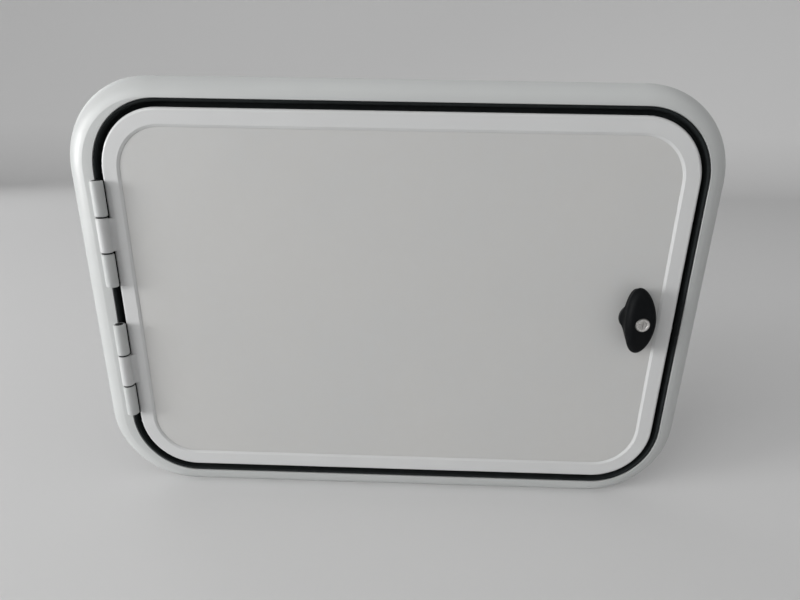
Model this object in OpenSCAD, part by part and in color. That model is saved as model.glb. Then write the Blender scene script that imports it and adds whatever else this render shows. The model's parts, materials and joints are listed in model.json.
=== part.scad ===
// Storage door for a caravan wall, closed, seen from outside along +Y.
// Everything is drawn lying on its back: x to the latch side, y up the wall and
// z out of the wall, with z = 0 on the wall's outer face. upright() then stands it up.

/* [Leaf] */
// Width of the leaf over its white rim
leaf_w = 600; // [450:1:800]
// Height of the leaf over its white rim
leaf_h = 409; // [340:1:600]
// Corner radius of the leaf
leaf_r = 63; // [50:1:90]
// How far the leaf's rim stands out of the wall
leaf_proud = 15; // [14:0.5:20]
// Whole thickness of the leaf, rim to inner skin
leaf_t = 27; // [24:0.5:36]
// Width of the flat rim round the leaf
rim_w = 16; // [14:0.5:24]
// Thickness of the rim
rim_t = 6; // [5:0.25:8]
// Rounding of the rim's outer front edge
rim_round = 3; // [2:0.25:3.5]
// Depth of the front sheet below the rim
sheet_recess = 1.5; // [1:0.25:3.5]
// Width of the slope from the rim down to the front sheet
bevel_w = 2.5; // [1.5:0.25:5]
// Height of the small step where that slope meets the sheet
bevel_step = 0.3; // [0.1:0.1:0.8]
// Thickness of the front sheet and of the inner skin
sheet_t = 1.5; // [1:0.25:2]
// Width of the ledge that carries the front sheet
ledge_w = 10; // [6:0.5:16]
// How far the leaf's plug stands in from the rim's edge
plug_inset = 14; // [13:0.5:18]
// Wall thickness of the plug's edge frame
edge_wall = 2.5; // [2:0.25:3]
// Width of the edge frame's border round the inner skin
border_w = 22; // [16:1:30]
// Depth of the inner skin below that border
border_t = 2; // [1.5:0.25:3]
// Rounding of the plug's back edge
edge_round = 1.5; // [0.5:0.25:1.75]

/* [Outer frame] */
// Gap between the leaf's rim and the frame's lip
rim_gap = 8.2; // [7.5:0.1:10]
// Width of the flange outside the lip, on the three sides without a hinge
flange_w = 21; // [18:0.5:28]
// Extra width of the flange on the hinge side
hinge_land = 10; // [8:0.5:14]
// Radius of the flange's rounded section
flange_r = 27; // [25:0.5:32]
// Wall thickness of the frame moulding
frame_wall = 2.5; // [2:0.25:3]
// Height of the flange's foot edge on the wall
foot_edge = 1.5; // [1:0.25:2.5]
// Rounding of the lip beside the seal
lip_round = 0.5; // [0.5:0.25:1.5]
// Height of the seal channel's floor above the wall
channel_floor = 3.5; // [3.5:0.25:4.5]
// Clear gap between the leaf's plug and the frame's collar
plug_gap = 6; // [5:0.5:8]
// How far the collar reaches behind the keeper's plate
collar_tail = 7.5; // [7:0.5:40]
// Thickness of the ribs inside the flange
rib_t = 2; // [1.5:0.25:3]
// Largest spacing of those ribs
rib_pitch = 75; // [50:1:120]
// Number of ribs across each corner of the flange
corner_ribs = 2; // [1:1:4]

/* [Wall screws] */
// Diameter of the screw holes through the collar
screw_d = 4.5; // [3.5:0.1:6]
// Spacing of the inner pair of holes, above and below
screw_near = 160; // [100:1:200]
// Spacing of the outer pair of holes, above and below
screw_far = 430; // [300:1:560]
// Spacing of the holes on the hinge and latch sides
screw_side = 200; // [150:1:280]
// Depth of the holes behind the wall's outer face
screw_depth = 13; // [10:0.5:20]

/* [Seal] */
// Thickness of the seal's upstand against the lip
seal_wall = 3; // [2:0.25:3.5]
// Depth of the upstand's top edge below the leaf's front
seal_drop = 0.5; // [0.25:0.25:2]
// Thickness of the seal's base
seal_base = 1.5; // [1:0.25:2]
// Running gap between the seal's bulb and the leaf's rim
seal_clear = 0.9; // [0.3:0.1:1.5]
// Wall thickness of the hollow bulb
bulb_wall = 1.1; // [0.8:0.1:1.4]

/* [Hinges] */
// Height of the hinge axis above the leaf's front
axis_rise = 5; // [4.5:0.25:7]
// Distance of the hinge axis outside the leaf's edge
axis_out = 4; // [3.5:0.25:5]
// Outside diameter of a knuckle
knuckle_d = 12.4; // [10.5:0.1:13]
// Length of one knuckle
knuckle_len = 36; // [20:0.1:45]
// Gap between two knuckles
knuckle_gap = 1.8; // [0.5:0.1:2]
// Chamfer at a knuckle's ends
knuckle_chamfer = 0.8; // [0.3:0.1:1.5]
// Diameter of the recess in the ends of each hinge
recess_d = 8.6; // [7:0.1:9]
// Depth of that recess
recess_depth = 4; // [2:0.5:6]
// Distance between the middles of the two hinges
hinge_pitch = 155; // [130:1:240]
// Diameter of the hinge pin
pin_d = 5; // [3:0.1:6]
// Running clearance of the leaf's knuckle on the pin, on the radius
pin_clear = 0.05; // [0.02:0.01:0.1]
// Fillet where a frame knuckle meets the flange
frame_fillet = 3; // [1:0.5:4]
// Fillet where a leaf knuckle meets the rim
leaf_fillet = 5; // [2:0.5:6]

/* [Latch knob] */
// Distance of the knob's axis from the leaf's latch edge
knob_inset = 45; // [42:1:80]
// Height of the knob's front face above the leaf's front
knob_rise = 25; // [20:0.5:32]
// Length of the wing at its face
wing_len = 73; // [60:1:84]
// Width of the wing at its face
wing_w = 31; // [26:0.5:34]
// Length of the wing at its foot
foot_len = 65; // [52:1:76]
// Width of the wing at its foot
foot_w = 21.5; // [18:0.5:26]
// Share by which the wing is wider at its upper end
wing_egg = 0.12; // [0:0.02:0.2]
// How far the wing's face falls towards its two ends
wing_crown = 7.5; // [0:0.5:9]
// Rounding of the face's edge
wing_edge = 2.5; // [1.5:0.25:4]
// Rounding of the foot's edge
wing_foot = 1.5; // [0.5:0.25:2.5]
// Angle by which the wing leans to the hinge side at rest
wing_lean = 4; // [0:1:10]
// Radius of the round hub under the wing
hub_r = 14.2; // [14:0.1:18]
// Gap between the wing and the leaf's rim
wing_gap = 2; // [1:0.25:4]
// Diameter of the lock barrel
barrel_d = 15; // [12:0.1:16]
// Length of the lock barrel inside the knob
barrel_len = 20; // [16:0.5:21]
// Thickness of the barrel's closed end
barrel_floor = 4; // [2:0.5:6]
// How far the barrel's face stands out of the knob
barrel_proud = 0.6; // [0.2:0.1:1.5]
// Width of the bezel's sloping edge
bezel_w = 0.7; // [0.3:0.1:1.2]
// Diameter of the key plug
plug_d = 9; // [7:0.1:10]
// Depth of the plug's face below the bezel, and the chamfer round it
plug_drop = 0.3; // [0.1:0.1:1]
// Length of the key slot
key_w = 6.4; // [4:0.1:6.8]
// Width of the key slot
key_t = 1.3; // [0.8:0.1:2]
// Depth of the key slot
key_depth = 12; // [6:0.5:14]

/* [Latch works] */
// Diameter of the threaded housing through the leaf
housing_d = 22; // [18:0.5:26]
// How far the housing's flange stands out round the knob's hub
housing_lip = 0.4; // [0.2:0.1:3]
// Thickness of that flange
housing_flange_t = 1.5; // [1:0.25:2]
// How far the housing stands out of its nut
housing_over = 2; // [1:0.5:4]
// Diameter of the spindle
spindle_d = 12; // [10:0.5:14]
// Running clearance of the turning pieces, on the radius
turn_clear = 0.05; // [0.02:0.01:0.1]
// Gap between faces that turn on each other
face_clear = 0.3; // [0.2:0.05:0.6]
// Thickness of the housing's nut
nut_t = 6; // [4:0.5:7]
// Width across the flats of the housing's nut
nut_af = 28; // [26:0.5:34]
// Room round that nut's corners in the edge frame's border
nut_relief = 2.5; // [1:0.5:4]
// Width of the spindle's square
square_w = 8; // [6:0.5:8.5]
// Thickness of the cam tongue
tongue_t = 4; // [3:0.25:5]
// Width of the cam tongue
tongue_w = 14; // [10:0.5:18]
// Reach of the tongue from the knob's axis
tongue_reach = 30; // [26:0.5:34]
// Chamfer on the edges of tongue and keeper that meet first
lead_in = 1.2; // [0.5:0.1:1.5]
// Radius of the stud at the spindle's end
stud_r = 3; // [2.5:0.25:3.5]
// How far the stud stands out of its nut
stud_over = 4; // [1:0.5:6]
// Rim that the tongue leaves round the spindle beyond its own width
tongue_boss = 2.5; // [1:0.5:4]
// Radius of the washer behind the tongue
washer_r = 8; // [6:0.5:10]
// Thickness of that washer
washer_t = 1.2; // [0.8:0.1:2]
// Width across the flats of the stud's nut
cam_nut_af = 10; // [8:0.5:13]
// Thickness of the stud's nut
cam_nut_t = 5; // [3:0.5:6]
// Gap between the leaf's back and the keeper
keeper_gap = 5; // [5:0.25:8]
// Gap between the keeper and the tongue behind it
tongue_gap = 1.5; // [0.75:0.25:3]
// Thickness of the keeper's plate
keeper_t = 2.5; // [2:0.25:3]
// Inner radius of the keeper's bend
keeper_bend = 1.5; // [0.5:0.25:2]
// Length of the keeper along the collar
keeper_len = 50; // [36:1:70]
// How far the keeper reaches in from the collar
keeper_reach = 18; // [16:0.5:22]
// Distance of the keeper's leg from the collar's end
keeper_tail = 1.25; // [1:0.25:3]
// Diameter of the keeper's two screw holes
keeper_screw_d = 3.4; // [2.8:0.1:3.6]
// Distance of those holes from the keeper's ends
keeper_screw_in = 9; // [6:0.5:14]
// How much the plate's two free corners are cut off
keeper_corner = 5.6; // [3:0.1:8]

/* [Hidden] */
$fn = 96;

// Exponents of the wing's outline and of its blend into the hub
wing_point = 1.6;
hub_blend = 5;

half_w = leaf_w / 2;
half_h = leaf_h / 2;
sheet_z = leaf_proud - sheet_recess;
rim_back = leaf_proud - rim_t;
leaf_back = leaf_proud - leaf_t;
skin_z = leaf_back + border_t;
core_inset = plug_inset + edge_wall;

lip_out = rim_gap + frame_wall;
crest_u = rim_gap + lip_round;
foot_u = rim_gap + flange_w;
collar_u = plug_gap - plug_inset;
keeper_z = leaf_back - keeper_gap;
collar_depth = keeper_t - keeper_z + collar_tail;
shift = hinge_land / 2;

// Centre of the flange's rounded section, from its chord between the crest and the foot
chord = [foot_u - crest_u, foot_edge - leaf_proud];
chord_len = norm(chord);
chord_rise = sqrt(pow(flange_r, 2) - pow(chord_len / 2, 2));
flange_c = [crest_u + chord[0] / 2 + chord[1] / chord_len * chord_rise,
            leaf_proud + chord[1] / 2 - chord[0] / chord_len * chord_rise];

hinge_x = -half_w - axis_out;
hinge_z = leaf_proud + axis_rise;
knuckle_r = knuckle_d / 2;
knuckle_step = knuckle_len + knuckle_gap;
hinge_len = 3 * knuckle_len + 2 * knuckle_gap;

knob_x = half_w - knob_inset;
knob_z = sheet_z + housing_flange_t + face_clear;
wing_z = leaf_proud + wing_gap;
knob_top = leaf_proud + knob_rise;
flank_top = knob_top - wing_edge;
barrel_z = knob_top - barrel_len;
barrel_top = knob_top + barrel_proud;
housing_back = skin_z - nut_t - housing_over;
tongue_z = keeper_z - keeper_t - tongue_gap;
washer_z = tongue_z - tongue_t - washer_t;
cam_nut_z = washer_z - cam_nut_t;

// Stands the door up: z out of the wall becomes -Y
module upright() {
    rotate([90, 0, 0]) children();
}

// Solid rounded rectangle, grown or shrunk from the leaf's outline by u
module outline(u, extra = 0) {
    w = half_w + u + extra;
    h = half_h + u;
    r = leaf_r + u;
    square([2 * (w - r), 2 * h], center = true);
    square([2 * w, 2 * (h - r)], center = true);
    for (sx = [-1, 1], sy = [-1, 1])
        translate([sx * (w - r), sy * (h - r)]) circle(r);
}

// Flat plate between two heights, with the leaf's outline moved by u
module plate(u, low, high) {
    translate([0, 0, low]) linear_extrude(high - low) outline(u);
}

// Ring swept round the leaf's outline: four straight sides and four true quarter turns.
// The section's x is the distance outside the outline and its y is the height.
module swept(extra = 0) {
    for (k = [0:3]) {
        a = k % 2 == 0 ? half_w + extra : half_h;
        b = k % 2 == 0 ? half_h : half_w + extra;
        rotate([0, 0, 90 * k]) {
            translate([a, b - leaf_r, 0])
                rotate([90, 0, 0]) linear_extrude(2 * (b - leaf_r)) children();
            translate([a - leaf_r, b - leaf_r, 0])
                rotate_extrude(angle = 90) translate([leaf_r, 0]) children();
        }
    }
}

// Bar along y with a section drawn in x and z, centred at y
module along_y(y, len) {
    translate([0, y + len / 2, 0]) rotate([90, 0, 0]) linear_extrude(len) children();
}

// Rectangle given by its two corners
module span(low, high) {
    translate(low) square(high - low);
}

// Square bar on its edge along z, which takes a chamfer of one size off an edge
module chamfer_cut(size, len) {
    rotate([0, 0, 45]) cube([size * sqrt(2), size * sqrt(2), len], center = true);
}

// Section of the lip, the seal channel's floor and the collar
module channel_section() {
    span([rim_gap, 0], [lip_out, leaf_proud - lip_round]);
    intersection() {
        translate([crest_u, leaf_proud - lip_round]) circle(lip_round);
        span([rim_gap, leaf_proud - lip_round], [crest_u, leaf_proud]);
    }
    span([collar_u, channel_floor - frame_wall], [lip_out, channel_floor]);
    span([collar_u, -collar_depth + frame_wall / 2], [collar_u + frame_wall, channel_floor]);
    translate([collar_u + frame_wall / 2, -collar_depth + frame_wall / 2])
        circle(frame_wall / 2);
}

// Section of the flange's rounded skin, from the crest to the foot on the wall
module flange_section() {
    intersection() {
        difference() {
            translate(flange_c) circle(flange_r);
            translate(flange_c) circle(flange_r - frame_wall);
        }
        span([crest_u, 0], [foot_u, leaf_proud + 5]);
    }
}

// Section of one rib inside the flange; land is the flat width it also crosses
module rib_section(land) {
    intersection() {
        translate(flange_c) circle(flange_r - frame_wall / 2);
        span([crest_u, 0.5], [foot_u - frame_wall / 2, leaf_proud]);
    }
    span([rim_gap + frame_wall / 2 - land, 0.5], [crest_u + 2, leaf_proud - frame_wall / 2 - 0.5]);
}

// Ribs spread evenly over one side of the flange, out being the side's distance from the middle
module rib_row(out, len, land) {
    count = ceil(len / rib_pitch);
    for (i = [0:count])
        translate([out, len * (i / count - 0.5) + rib_t / 2, 0])
            rotate([90, 0, 0]) linear_extrude(rib_t) rib_section(land);
}

module flange_ribs() {
    rib_row(half_w, leaf_h - 2 * leaf_r, 0);
    rotate([0, 0, 90]) rib_row(half_h, leaf_w - 2 * leaf_r, 0);
    rotate([0, 0, 180]) rib_row(half_w + hinge_land, leaf_h - 2 * leaf_r, hinge_land);
    rotate([0, 0, 270]) rib_row(half_h, leaf_w - 2 * leaf_r, 0);
}

// Extra reach of a rib in a corner of the hinge side, where the lip and the flange
// turn about two centres
function corner_land(angle) =
    let (r = leaf_r + rim_gap + frame_wall / 2)
    r + hinge_land * cos(angle) - sqrt(pow(r, 2) - pow(hinge_land * sin(angle), 2));

// Ribs that fan out across the flange's four corners
module corner_rib_fans() {
    for (sx = [-1, 1], sy = [-1, 1], i = [1:corner_ribs]) {
        angle = 90 * i / (corner_ribs + 1);
        hinge_side = sx < 0;
        translate([sx * (half_w - leaf_r) - (hinge_side ? hinge_land : 0),
                   sy * (half_h - leaf_r), 0])
            rotate([0, 0, hinge_side ? 180 - sy * angle : sy * angle])
                translate([leaf_r, rib_t / 2, 0]) rotate([90, 0, 0])
                    linear_extrude(rib_t) rib_section(hinge_side ? corner_land(angle) : 0);
    }
}

// Section of a frame knuckle's neck and the fillet onto the flange
module frame_neck_section() {
    left = hinge_x - knuckle_r;
    span([left, leaf_proud - frame_wall / 2], [-half_w - rim_gap, hinge_z]);
    span([left - frame_fillet, leaf_proud - frame_wall / 2], [left, leaf_proud]);
    difference() {
        span([left - frame_fillet, leaf_proud], [left, leaf_proud + frame_fillet]);
        translate([left - frame_fillet, leaf_proud + frame_fillet]) circle(frame_fillet);
    }
}

// Section of a leaf knuckle's neck and the fillet onto the rim
module leaf_neck_section() {
    right = hinge_x + knuckle_r;
    span([-half_w, leaf_proud - rim_round], [right + leaf_fillet, leaf_proud]);
    span([-half_w, leaf_proud - rim_round], [right, hinge_z]);
    difference() {
        span([right, leaf_proud], [right + leaf_fillet, leaf_proud + leaf_fillet]);
        translate([right + leaf_fillet, leaf_proud + leaf_fillet]) circle(leaf_fillet);
    }
}

// Round bar on the hinge axis
module axis_bar(r, y, len) {
    along_y(y, len) translate([hinge_x, hinge_z]) circle(r);
}

// Round bar from low to high along z, with a chamfer at both ends
module turned_bar(r, low, high, chamfer) {
    rotate_extrude()
        polygon([[0, low], [r - chamfer, low], [r, low + chamfer],
                 [r, high - chamfer], [r - chamfer, high], [0, high]]);
}

// The same on the hinge axis, centred at y
module turned_axis_bar(r, y, len, chamfer) {
    translate([hinge_x, y, hinge_z]) rotate([90, 0, 0])
        turned_bar(r, -len / 2, len / 2, chamfer);
}

module hinge_places() {
    for (side = [-1, 1]) translate([0, side * hinge_pitch / 2, 0]) children();
}

// One knuckle: a chamfered barrel and, a little shorter, the neck given as its child
module knuckle(y) {
    turned_axis_bar(knuckle_r, y, knuckle_len, knuckle_chamfer);
    along_y(y, knuckle_len - 2 * knuckle_chamfer) children();
}

module frame_knuckles() {
    hinge_places()
        for (end = [-1, 1])
            knuckle(end * knuckle_step) frame_neck_section();
}

// The pin's bore through a hinge and the recess at both its ends
module pin_bore(r) {
    axis_bar(r, 0, hinge_len + 2);
    for (end = [-1, 1])
        axis_bar(recess_d / 2, end * hinge_len / 2, 2 * recess_depth);
}

// Holes through the collar for the screws into the wall's edge
module screw_holes() {
    reach = 2 * max(half_w, half_h) + 100;
    for (x = [-screw_far / 2, -screw_near / 2, screw_near / 2, screw_far / 2])
        translate([x, 0, -screw_depth]) rotate([90, 0, 0])
            cylinder(h = reach, d = screw_d, center = true);
    for (y = [-screw_side / 2, screw_side / 2])
        translate([0, y, -screw_depth]) rotate([0, 90, 0])
            cylinder(h = reach, d = screw_d, center = true);
}

module outer_frame() {
    color("whitesmoke") upright() difference() {
        union() {
            swept() channel_section();
            translate([-shift, 0, 0]) swept(shift) flange_section();
            translate([0, 0, leaf_proud - frame_wall]) linear_extrude(frame_wall)
                difference() {
                    translate([-shift, 0]) outline(crest_u, shift);
                    outline(crest_u);
                }
            flange_ribs();
            corner_rib_fans();
            frame_knuckles();
        }
        screw_holes();
        hinge_places() pin_bore(pin_d / 2);
    }
}

// Section of the seal: base in the channel, upstand on the lip and hollow bulb under the rim
module seal_section() {
    bulb_r = (rim_back - seal_clear - channel_floor) / 2;
    bulb_c = [-bulb_r + 0.8, channel_floor + bulb_r];
    top = leaf_proud - seal_drop;
    difference() {
        union() {
            span([bulb_c[0], channel_floor], [rim_gap, channel_floor + seal_base]);
            span([rim_gap - seal_wall, channel_floor], [rim_gap, top - seal_wall / 2]);
            translate([rim_gap - seal_wall / 2, top - seal_wall / 2]) circle(seal_wall / 2);
            translate(bulb_c) circle(bulb_r);
        }
        translate(bulb_c) circle(bulb_r - bulb_wall);
    }
}

module rubber_seal() {
    color("black") upright() difference() {
        swept() seal_section();
        hinge_places() axis_bar(knuckle_r + 0.8, 0, hinge_len + 3);
    }
}

// Pin whose chamfered ends stand a little into the recesses
module hinge_pin(side) {
    stand = recess_depth / 4;
    color("silver") upright()
        translate([0, side * hinge_pitch / 2, 0])
            turned_axis_bar(pin_d / 2, 0, hinge_len - 2 * (recess_depth - stand), pin_d / 8);
}

module upper_hinge_pin() {
    hinge_pin(1);
}

module lower_hinge_pin() {
    hinge_pin(-1);
}

// Section of the keeper: a strip bent through a right angle, its leg on the collar at x = 0
module keeper_section() {
    outer = keeper_bend + keeper_t;
    low = -collar_depth + keeper_tail;
    span([-keeper_reach, keeper_z - keeper_t], [-outer, keeper_z]);
    span([-keeper_t, low], [0, keeper_z - outer]);
    intersection() {
        translate([-outer, keeper_z - outer]) difference() {
            circle(outer);
            circle(keeper_bend);
        }
        span([-outer, keeper_z - outer], [0, keeper_z]);
    }
}

// Steel angle screwed to the collar, with the plate that the tongue turns behind
module latch_keeper() {
    screw_z = (keeper_z - keeper_t - collar_depth) / 2;
    color("silver") upright() translate([half_w + collar_u, 0, 0]) difference() {
        along_y(0, keeper_len) keeper_section();
        for (end = [-1, 1]) {
            translate([0, end * (keeper_len / 2 - keeper_screw_in), screw_z])
                rotate([0, 90, 0])
                    cylinder(h = 4 * keeper_t, d = keeper_screw_d, center = true);
            translate([-keeper_reach, end * keeper_len / 2, 0])
                chamfer_cut(keeper_corner, 2 * collar_depth);
            translate([-keeper_reach, end * keeper_len / 2, keeper_z - keeper_t])
                rotate([0, 90, 0])
                    chamfer_cut(lead_in, 2 * (keeper_reach - keeper_t - keeper_bend));
        }
    }
}

// Section of the rim: rounded bar, bevel down to the sheet and the ledge under it
module rim_section() {
    back_round = 1;
    span([-rim_w, rim_back], [-rim_round, leaf_proud]);
    span([-rim_w, rim_back + back_round], [0, leaf_proud - rim_round]);
    span([-rim_w, rim_back], [-back_round, rim_back + back_round]);
    translate([-rim_round, leaf_proud - rim_round]) circle(rim_round);
    translate([-back_round, rim_back + back_round]) circle(back_round);
    polygon([[-rim_w + 1, leaf_proud], [-rim_w, leaf_proud],
             [-rim_w - bevel_w, sheet_z + bevel_step], [-rim_w - bevel_w, sheet_z],
             [-rim_w + 1, sheet_z]]);
    span([-rim_w - ledge_w, rim_back], [-rim_w + 1, sheet_z - sheet_t]);
}

module leaf_rim() {
    color("white") upright() difference() {
        union() {
            swept() rim_section();
            hinge_places() knuckle(0) leaf_neck_section();
        }
        hinge_places() axis_bar(pin_d / 2 + pin_clear, 0, hinge_len);
    }
}

// Hole for the latch housing through the leaf
module housing_hole() {
    translate([knob_x, 0, leaf_back - 10])
        cylinder(h = leaf_t + 20, d = housing_d);
}

module front_sheet() {
    color("gainsboro") upright() difference() {
        plate(-rim_w, sheet_z - sheet_t, sheet_z);
        housing_hole();
    }
}

module foam_core() {
    color("lightblue") upright() difference() {
        union() {
            plate(-core_inset, skin_z + sheet_t, rim_back);
            plate(-rim_w - ledge_w, rim_back, sheet_z - sheet_t);
        }
        housing_hole();
    }
}

// Section of the edge frame: the plug's wall and the border that holds the inner skin
module edge_section() {
    turn = [-plug_inset - edge_round, leaf_back + edge_round];
    span([-core_inset, turn[1]], [-plug_inset, rim_back]);
    span([-plug_inset - border_w, leaf_back], [turn[0], skin_z]);
    intersection() {
        translate(turn) circle(edge_round);
        span([turn[0], leaf_back], [-plug_inset, turn[1]]);
    }
}

// The border is cut back round the housing's nut
module edge_frame() {
    color("ivory") upright() difference() {
        swept() edge_section();
        at_knob(leaf_back - 1)
            cylinder(h = border_t + 1, r = nut_af / 2 / cos(30) + nut_relief);
    }
}

module inner_skin() {
    color("lightgray") upright() difference() {
        plate(-core_inset, skin_z, skin_z + sheet_t);
        housing_hole();
    }
}

// Moves to the knob's axis
module at_knob(z) {
    translate([knob_x, 0, z]) children();
}

// Flanged tube through the leaf that carries the spindle
module latch_housing() {
    bore = spindle_d / 2 + turn_clear;
    flange = hub_r + housing_lip;
    face = sheet_z + housing_flange_t;
    chamfer = housing_flange_t / 3;
    color("dimgray") upright() at_knob(0) rotate_extrude()
        polygon([[bore, housing_back], [housing_d / 2 - chamfer, housing_back],
                 [housing_d / 2, housing_back + chamfer], [housing_d / 2, sheet_z],
                 [flange, sheet_z], [flange, face - chamfer], [flange - chamfer, face],
                 [bore, face]]);
}

// Hexagon nut whose corners are turned off at both faces
module hex_nut(z, t, af, bore_d) {
    corner_r = af / 2 / cos(30);
    slope = (corner_r - af / 2) * tan(30);
    at_knob(z) difference() {
        intersection() {
            cylinder(h = t, r = corner_r, $fn = 6);
            rotate_extrude()
                polygon([[0, 0], [af / 2, 0], [corner_r, slope], [corner_r, t - slope],
                         [af / 2, t], [0, t]]);
        }
        translate([0, 0, -1]) cylinder(h = t + 2, d = bore_d);
    }
}

module housing_nut() {
    color("gray") upright() hex_nut(skin_z - nut_t, nut_t, nut_af, housing_d);
}

// Value between low and high at a share t
function mix(low, high, t) = low + (high - low) * t;

// One ring of the wing: height, half-length, half-width, hub radius and crown.
// It flares from the foot up to the face while the hub fades into its flanks.
function wing_ring(z, inset = 0, shrink = 1) =
    let (t = (min(z, flank_top) - wing_z) / (flank_top - wing_z))
    [z, shrink * (mix(foot_len, wing_len, t) / 2 - inset),
     shrink * (mix(foot_w, wing_w, t) / 2 - inset), hub_r * (1 - t), wing_crown * t];

// All rings from the hub's base to the middle of the face
function knob_rings() = concat(
    [for (z = [knob_z, wing_z]) [z, 0, 0, hub_r, 0]],
    [for (a = [90, 60, 30]) wing_ring(wing_z + wing_foot * (1 - sin(a)), wing_foot * (1 - cos(a)))],
    [for (i = [0:8]) wing_ring(mix(wing_z + wing_foot, flank_top, i / 8))],
    [for (a = [22.5:22.5:90]) wing_ring(flank_top + wing_edge * sin(a), wing_edge * (1 - cos(a)))],
    [for (shrink = [0.75, 0.45, 0.2]) wing_ring(knob_top, wing_edge, shrink)]
);

// Point of a ring: a pointed oval, wider at its upper end, blended with the round hub
function knob_point(ring, angle) =
    let (s = sin(angle), across = sqrt(1 - pow(abs(s), wing_point)) * (1 + wing_egg * s),
         y = ring[1] * s, x = ring[2] * sign(cos(angle)) * across,
         r = norm([x, y]), turn = r == 0 ? angle : atan2(y, x),
         skin = pow(pow(r, hub_blend) + pow(ring[3], hub_blend), 1 / hub_blend))
    [skin * cos(turn), skin * sin(turn), ring[0] - ring[4] * pow(2 * y / wing_len, 2)];

// One moulding lofted through the rings: a round hub that runs up into the wing's flanks
module knob_body() {
    rings = knob_rings();
    n = 60;
    last = len(rings) - 1;
    points = [for (ring = rings, i = [0:n - 1]) knob_point(ring, 360 * i / n)];
    sides = [for (k = [0:last - 1], i = [0:n - 1])
        let (j = (i + 1) % n)
        each [[k * n + i, (k + 1) * n + i, k * n + j],
              [k * n + j, (k + 1) * n + i, (k + 1) * n + j]]];
    bottom = [for (i = [0:n - 1]) i];
    top = [for (i = [n - 1:-1:0]) last * n + i];
    rotate([0, 0, wing_lean]) polyhedron(points, concat(sides, [bottom, top]));
}

module latch_knob() {
    color("black") upright() difference() {
        at_knob(0) knob_body();
        at_knob(barrel_z) cylinder(h = 2 * barrel_len, d = barrel_d);
        at_knob(knob_z - 1) linear_extrude(barrel_z - knob_z + 2)
            square(square_w, center = true);
    }
}

// Barrel with a bezel that slopes off, and the bore that the plug turns in
module lock_barrel() {
    bore = plug_d / 2 + turn_clear;
    outer = barrel_d / 2;
    floor_z = barrel_z + barrel_floor;
    color("lightgray") upright() at_knob(0) rotate_extrude()
        polygon([[0, barrel_z], [outer, barrel_z], [outer, barrel_top - bezel_w],
                 [outer - bezel_w, barrel_top], [bore + bezel_w / 2, barrel_top],
                 [bore, barrel_top - bezel_w / 2], [bore, floor_z], [0, floor_z]]);
}

// Plug that ends a little below the bezel, with the slot for the key
module key_plug() {
    color("silver") upright() at_knob(0) difference() {
        turned_bar(plug_d / 2, barrel_z + barrel_floor + face_clear, barrel_top - plug_drop,
                   plug_drop);
        rotate([0, 0, wing_lean]) translate([0, 0, barrel_top])
            cube([key_t, key_w, 2 * key_depth], center = true);
    }
}

// Round shaft in the housing, with a square at each end and a stud for the nut
module latch_spindle() {
    color("silver") upright() at_knob(0) {
        translate([0, 0, tongue_z]) cylinder(h = knob_z - tongue_z, d = spindle_d);
        for (z = [[knob_z, barrel_z], [tongue_z - tongue_t, tongue_z]])
            translate([0, 0, z[0]]) linear_extrude(z[1] - z[0]) square(square_w, center = true);
        turned_bar(stud_r, cam_nut_z - stud_over, tongue_z, stud_r / 4);
    }
}

// Flat tongue that stands up when released and turns towards the keeper
module cam_tongue() {
    end = tongue_reach - tongue_w / 2;
    color("silver") upright() at_knob(tongue_z - tongue_t) difference() {
        linear_extrude(tongue_t) difference() {
            union() {
                circle(tongue_w / 2 + tongue_boss);
                translate([-tongue_w / 2, 0]) square([tongue_w, end]);
                translate([0, end]) circle(tongue_w / 2);
            }
            square(square_w, center = true);
        }
        translate([tongue_w / 2, tongue_reach, tongue_t]) rotate([90, 0, 0])
            chamfer_cut(lead_in, 2 * (tongue_reach - tongue_w));
    }
}

module cam_washer() {
    color("lightgray") upright() at_knob(washer_z) difference() {
        cylinder(h = washer_t, r = washer_r);
        translate([0, 0, -1]) cylinder(h = washer_t + 2, r = stud_r);
    }
}

module cam_nut() {
    color("gray") upright() hex_nut(cam_nut_z, cam_nut_t, cam_nut_af, 2 * stud_r);
}

outer_frame();
rubber_seal();
upper_hinge_pin();
lower_hinge_pin();
latch_keeper();
leaf_rim();
front_sheet();
foam_core();
edge_frame();
inner_skin();
latch_housing();
housing_nut();
latch_knob();
lock_barrel();
latch_spindle();
cam_tongue();
cam_washer();
cam_nut();
key_plug();
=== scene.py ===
"""Storage door of a caravan wall: finishes, fixings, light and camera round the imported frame."""

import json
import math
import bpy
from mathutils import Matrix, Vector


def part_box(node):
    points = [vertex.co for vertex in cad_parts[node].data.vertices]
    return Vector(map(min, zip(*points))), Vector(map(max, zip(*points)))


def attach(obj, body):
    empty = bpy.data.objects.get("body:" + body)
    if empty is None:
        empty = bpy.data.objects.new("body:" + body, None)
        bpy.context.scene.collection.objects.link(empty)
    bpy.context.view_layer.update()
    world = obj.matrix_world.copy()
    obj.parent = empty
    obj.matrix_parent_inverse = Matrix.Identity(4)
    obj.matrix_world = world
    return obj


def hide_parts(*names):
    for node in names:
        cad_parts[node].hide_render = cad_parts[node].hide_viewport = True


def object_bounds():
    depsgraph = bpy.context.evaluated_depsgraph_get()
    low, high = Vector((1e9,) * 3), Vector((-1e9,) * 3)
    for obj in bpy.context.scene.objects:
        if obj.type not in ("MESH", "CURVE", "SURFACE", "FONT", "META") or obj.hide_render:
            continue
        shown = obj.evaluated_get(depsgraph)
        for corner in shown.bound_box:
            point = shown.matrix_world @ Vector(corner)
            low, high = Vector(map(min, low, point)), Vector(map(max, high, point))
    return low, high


bl_info = {
    "name": "Storage Door",
    "version": (1, 0, 0),
    "blender": (4, 5, 0),
    "location": "View3D > Sidebar > Storage Door",
    "description": "Finishes, fixings and stage of a hinged storage door",
    "category": "Object",
}

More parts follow.
